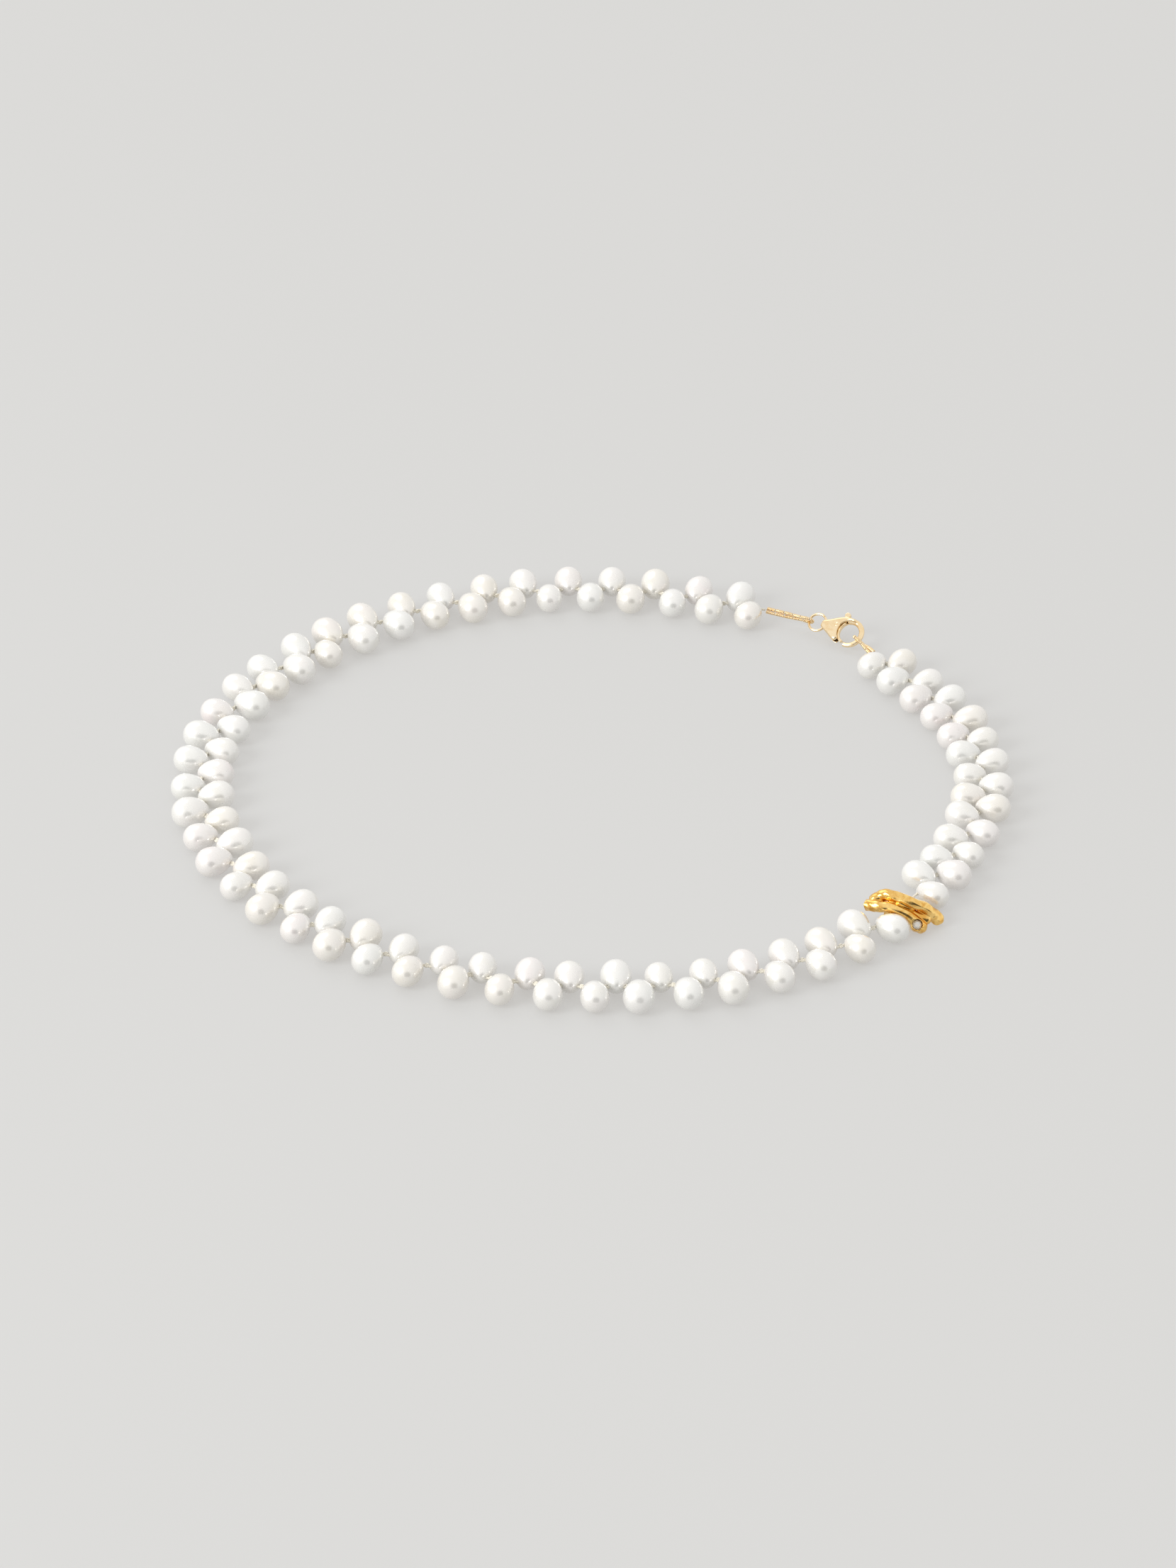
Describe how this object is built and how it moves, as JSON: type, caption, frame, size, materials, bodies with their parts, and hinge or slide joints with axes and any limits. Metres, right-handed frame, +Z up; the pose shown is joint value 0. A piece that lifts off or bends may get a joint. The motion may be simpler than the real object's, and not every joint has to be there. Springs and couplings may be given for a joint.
{
  "type": "pearl necklace",
  "caption": "Single strand of top-drilled drop pearls strung alternately in and out, with a lobster clasp, gold end loops and a molten gold charm.",
  "frame": {"origin": "centre of the bounding box, on the table the necklace lies on", "axes": "+X along the loop's width, towards the clasp and charm side; +Y towards the clasp at the back; +Z up"},
  "size_m": [0.16, 0.1458, 0.0066],
  "materials": {
    "pearl": "white freshwater nacre, soft satin lustre with faint pink and green tints",
    "silk": "twisted off-white silk thread",
    "pale_gold": "polished pale yellow gold plate",
    "rich_gold": "polished deep yellow gold plate, slightly lumpy as if molten",
    "spring_steel": "bright drawn spring wire",
    "crystal": "clear faceted stone"
  },
  "bodies": {
    "strand_07": {"pearl_pair_24": "pearl", "pearl_pair_25": "pearl", "pearl_pair_26": "pearl", "pearl_pair_27": "pearl", "thread": "silk"},
    "strand_01": {"pearl_pair_01": "pearl", "pearl_pair_02": "pearl", "pearl_pair_03": "pearl", "gimp_loop_left": "pale_gold"},
    "strand_02": {"pearl_pair_04": "pearl", "pearl_pair_05": "pearl", "pearl_pair_06": "pearl", "pearl_pair_07": "pearl"},
    "strand_03": {"pearl_pair_08": "pearl", "pearl_pair_09": "pearl", "pearl_pair_10": "pearl", "pearl_pair_11": "pearl"},
    "strand_04": {"pearl_pair_12": "pearl", "pearl_pair_13": "pearl", "pearl_pair_14": "pearl", "pearl_pair_15": "pearl"},
    "strand_05": {"pearl_pair_16": "pearl", "pearl_pair_17": "pearl", "pearl_pair_18": "pearl", "pearl_pair_19": "pearl"},
    "strand_06": {"pearl_pair_20": "pearl", "pearl_pair_21": "pearl", "pearl_pair_22": "pearl", "pearl_pair_23": "pearl"},
    "strand_08": {"pearl_pair_28": "pearl", "pearl_pair_29": "pearl", "pearl_pair_30": "pearl", "pearl_pair_31": "pearl"},
    "strand_09": {"pearl_pair_32": "pearl", "pearl_pair_33": "pearl", "pearl_pair_34": "pearl", "pearl_pair_35": "pearl"},
    "strand_10": {"pearl_pair_36": "pearl", "pearl_pair_37": "pearl", "pearl_pair_38": "pearl"},
    "strand_11": {"pearl_pair_39": "pearl", "pearl_pair_40": "pearl", "pearl_pair_41": "pearl", "pearl_pair_42": "pearl", "pearl_pair_43": "pearl"},
    "strand_12": {"pearl_pair_44": "pearl", "pearl_pair_45": "pearl", "pearl_pair_46": "pearl", "pearl_pair_47": "pearl"},
    "strand_13": {"pearl_pair_48": "pearl", "pearl_pair_49": "pearl", "pearl_pair_50": "pearl", "gimp_loop_right": "pale_gold"},
    "charm_body": {"charm": "rich_gold", "charm_stone": "crystal"},
    "clasp": {"clasp_body": "pale_gold", "clasp_pin": "pale_gold", "clasp_spring": "spring_steel"},
    "lever": {"clasp_lever": "pale_gold"},
    "ring": {"jump_ring": "pale_gold"}
  },
  "joints": [
    {"name": "strand_flex_01", "type": "hinge", "parent": "strand_02", "child": "strand_01", "pos_m": [0.01, 0.06592, 0.0027], "axis": [0, 0, 1], "range_deg": [-9.97, 9.97]},
    {"name": "strand_flex_02", "type": "hinge", "parent": "strand_03", "child": "strand_02", "pos_m": [-0.02291, 0.06351, 0.0027], "axis": [0, 0, 1], "range_deg": [-7.46, 7.46]},
    {"name": "strand_flex_03", "type": "hinge", "parent": "strand_04", "child": "strand_03", "pos_m": [-0.05164, 0.04726, 0.0027], "axis": [0, 0, 1], "range_deg": [-1.08, 1.08]},
    {"name": "strand_flex_04", "type": "hinge", "parent": "strand_05", "child": "strand_04", "pos_m": [-0.07067, 0.02057, 0.0027], "axis": [0, 0, 1], "range_deg": [-7.18, 7.18]},
    {"name": "loop_flex", "type": "hinge", "parent": "strand_06", "child": "strand_05", "pos_m": [-0.07267, -0.01217, 0.0027], "axis": [0, 0, 1], "range_deg": [-9, 9], "deforming": ["thread"]},
    {"name": "strand_flex_06", "type": "hinge", "parent": "strand_07", "child": "strand_06", "pos_m": [-0.05757, -0.04142, 0.0027], "axis": [0, 0, 1], "range_deg": [-2.04, 2.04]},
    {"name": "strand_flex_07", "type": "hinge", "parent": "strand_07", "child": "strand_08", "pos_m": [-0.0302, -0.05992, 0.0027], "axis": [0, 0, 1], "range_deg": [-5.52, 5.52]},
    {"name": "strand_flex_08", "type": "hinge", "parent": "strand_08", "child": "strand_09", "pos_m": [0.00222, -0.06654, 0.0027], "axis": [0, 0, 1], "range_deg": [-10.12, 10.12]},
    {"name": "strand_flex_09", "type": "hinge", "parent": "strand_09", "child": "strand_10", "pos_m": [0.03455, -0.06001, 0.0027], "axis": [0, 0, 1], "range_deg": [-4.53, 4.53]},
    {"name": "strand_flex_10", "type": "hinge", "parent": "strand_10", "child": "strand_11", "pos_m": [0.05872, -0.03932, 0.0027], "axis": [0, 0, 1], "range_deg": [-5.03, 5.03]},
    {"name": "strand_flex_11", "type": "hinge", "parent": "strand_11", "child": "strand_12", "pos_m": [0.0739, -0.00385, 0.0027], "axis": [0, 0, 1], "range_deg": [-8.31, 8.31]},
    {"name": "strand_flex_12", "type": "hinge", "parent": "strand_12", "child": "strand_13", "pos_m": [0.06786, 0.02474, 0.0027], "axis": [0, 0, 1], "range_deg": [-6.77, 6.77]},
    {"name": "charm_swing", "type": "hinge", "parent": "strand_10", "child": "charm_body", "pos_m": [0.05639, -0.04232, 0.0027], "axis": [0.6182, 0.786, 0], "range_deg": [-60, 10]},
    {"name": "clasp_roll", "type": "hinge", "parent": "strand_01", "child": "clasp", "pos_m": [0.05228, 0.04895, 0.00229], "axis": [0.8359, -0.5489, 0], "range_deg": [-10, 20]},
    {"name": "jump_ring_turn", "type": "hinge", "parent": "clasp", "child": "ring", "pos_m": [0.04441, 0.05479, 0.0027], "axis": [-0.3226, -0.4913, 0.809], "continuous": true},
    {"name": "clasp_lever_press", "type": "hinge", "parent": "clasp", "child": "lever", "pos_m": [0.04834, 0.05279, 0.00305], "axis": [-0.3226, -0.4913, 0.809], "range_deg": [0, 22], "stiffness_Nm_per_rad": 0.002, "springref_deg": -11.46, "deforming": ["clasp_spring"]}
  ],
  "couplings": [
    {"joint": "strand_flex_01", "follows": "loop_flex", "ratio": -1.1073},
    {"joint": "strand_flex_02", "follows": "loop_flex", "ratio": -0.82918},
    {"joint": "strand_flex_03", "follows": "loop_flex", "ratio": 0.11983},
    {"joint": "strand_flex_04", "follows": "loop_flex", "ratio": 0.7971},
    {"joint": "strand_flex_06", "follows": "loop_flex", "ratio": 0.2258},
    {"joint": "strand_flex_07", "follows": "loop_flex", "ratio": 0.61335},
    {"joint": "strand_flex_08", "follows": "loop_flex", "ratio": 1.1238},
    {"joint": "strand_flex_09", "follows": "loop_flex", "ratio": 0.50326},
    {"joint": "strand_flex_10", "follows": "loop_flex", "ratio": -0.55813},
    {"joint": "strand_flex_11", "follows": "loop_flex", "ratio": -0.92263},
    {"joint": "strand_flex_12", "follows": "loop_flex", "ratio": -0.75199}
  ]
}
